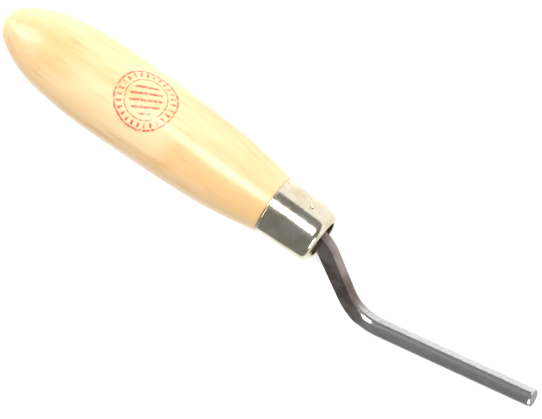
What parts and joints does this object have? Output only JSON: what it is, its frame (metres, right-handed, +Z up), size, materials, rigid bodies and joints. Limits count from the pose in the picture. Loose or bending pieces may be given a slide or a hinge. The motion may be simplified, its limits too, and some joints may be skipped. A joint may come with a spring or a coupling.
{
  "type": "cranked hand tool",
  "caption": "Hand tool with a turned wooden handle, a metal ferrule and a cranked steel shank that ends in a plain round bar for smoothing and shaping.",
  "frame": {"origin": "middle of the underside of the whole tool, on the surface that it lies on", "axes": "+X along the handle towards the bar's end, +Z up as the tool lies on the handle's belly and the underside of the bar; the crank leans towards -Y"},
  "size_m": [0.2098, 0.0382, 0.0315],
  "materials": {
    "handle_wood": "clear satin lacquer over turned hardwood, with a worn red stamp",
    "ferrule_plate": "warm bright plating, lightly spotted",
    "shank_steel": "forged brown-grey at the neck, polished on the bar"
  },
  "bodies": {
    "root": {"handle": "handle_wood", "ferrule": "ferrule_plate", "shank": "shank_steel"}
  },
  "joints": []
}
